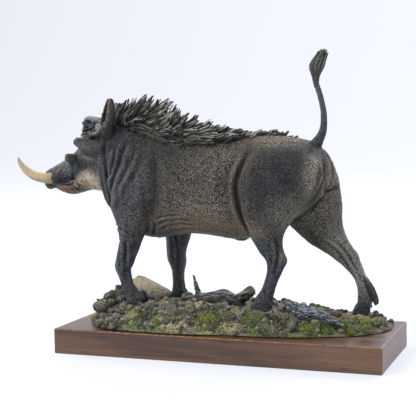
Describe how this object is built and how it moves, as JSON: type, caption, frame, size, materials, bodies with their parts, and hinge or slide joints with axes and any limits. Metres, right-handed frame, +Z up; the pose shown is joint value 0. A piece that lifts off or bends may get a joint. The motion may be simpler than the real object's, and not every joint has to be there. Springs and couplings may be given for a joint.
{
  "type": "warthog figurine",
  "caption": "Painted figurine of a walking warthog with raised tail and upcurved tusks, standing on cast rocky ground fixed to a rectangular wooden plinth.",
  "frame": {"origin": "centre of the plinth's flat underside", "axes": "+X along the plinth toward the tail, so the head is at -X; +Y toward the animal's right side; +Z up"},
  "size_m": [0.3157, 0.1031, 0.2331],
  "materials": {
    "wood": "satin brown stained wood with worn lighter edges",
    "earth": "matt painted resin: grey-brown earth and stones with yellow-green grass tufts",
    "hide": "matt painted resin: charcoal hide dry-brushed with taupe, darker legs and mane",
    "ivory": "satin cream resin, yellower at the root"
  },
  "bodies": {
    "root": {"plinth": "wood", "groundwork": "earth", "warthog": "hide", "tusk_left": "ivory", "tusk_right": "ivory"}
  },
  "joints": []
}
